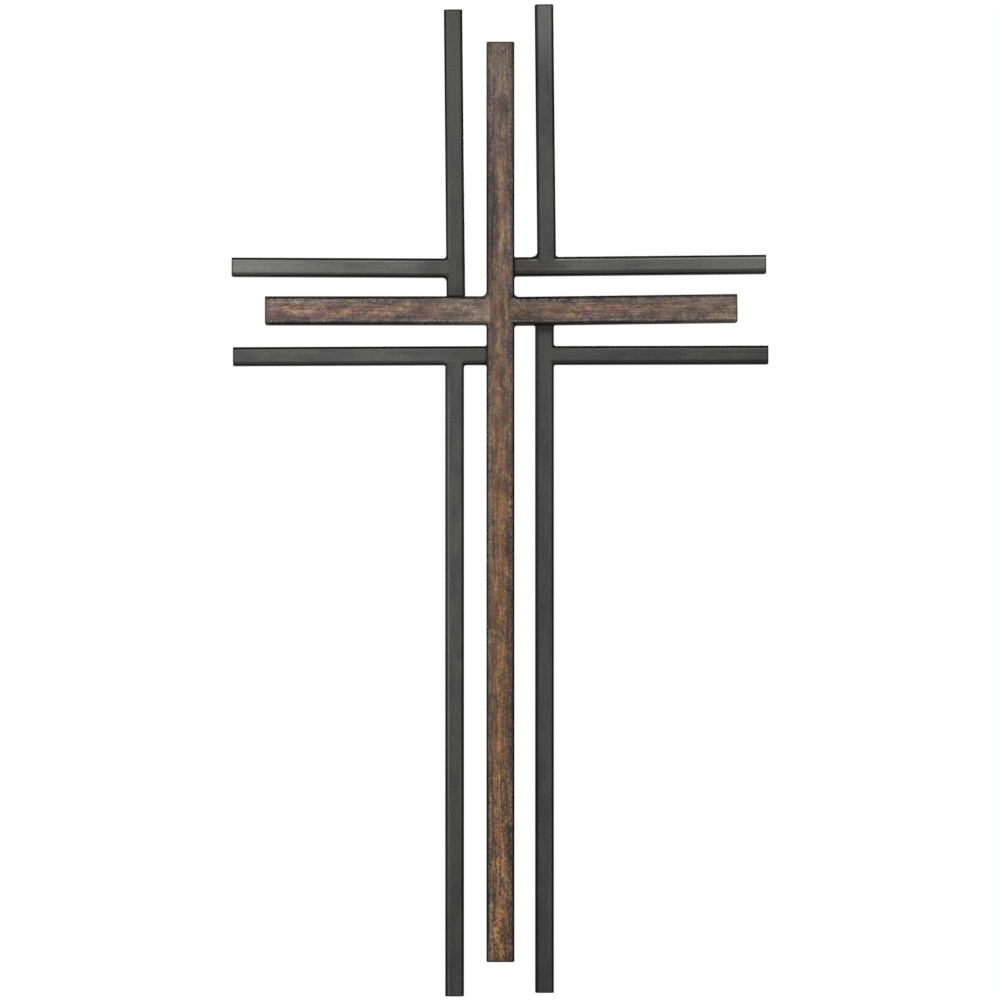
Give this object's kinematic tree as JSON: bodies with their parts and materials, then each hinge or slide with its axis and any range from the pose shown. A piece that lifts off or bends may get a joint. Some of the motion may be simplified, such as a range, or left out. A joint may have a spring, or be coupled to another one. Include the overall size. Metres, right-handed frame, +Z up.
{
  "type": "metal wall cross",
  "caption": "Wall cross welded from square steel tube: a copper-coloured middle cross with dark bars running beside its limbs in a pinwheel, hung by a keyhole in its back.",
  "frame": {"origin": "on the back face of the copper upright, on the web 4 mm above the keyhole slot that the wall screw carries, 50 mm below the upright's top end", "axes": "+Y into the wall, so the front faces -Y; +X to the right of someone looking at the front; +Z up"},
  "size_m": [0.3654, 0.0191, 0.6754],
  "materials": {
    "antiqued_copper": "antiqued copper and bronze finish on steel, mottled brown, copper and olive with darkened edges, satin",
    "gunmetal_paint": "dark gunmetal paint on steel, satin, faintly uneven"
  },
  "bodies": {
    "root": {"copper_upright": "antiqued_copper", "copper_left_arm": "antiqued_copper", "copper_right_arm": "antiqued_copper", "upper_left_upright": "gunmetal_paint", "upper_left_arm": "gunmetal_paint", "upper_right_upright": "gunmetal_paint", "upper_right_arm": "gunmetal_paint", "lower_left_upright": "gunmetal_paint", "lower_left_arm": "gunmetal_paint", "lower_right_upright": "gunmetal_paint", "lower_right_arm": "gunmetal_paint"}
  },
  "joints": []
}
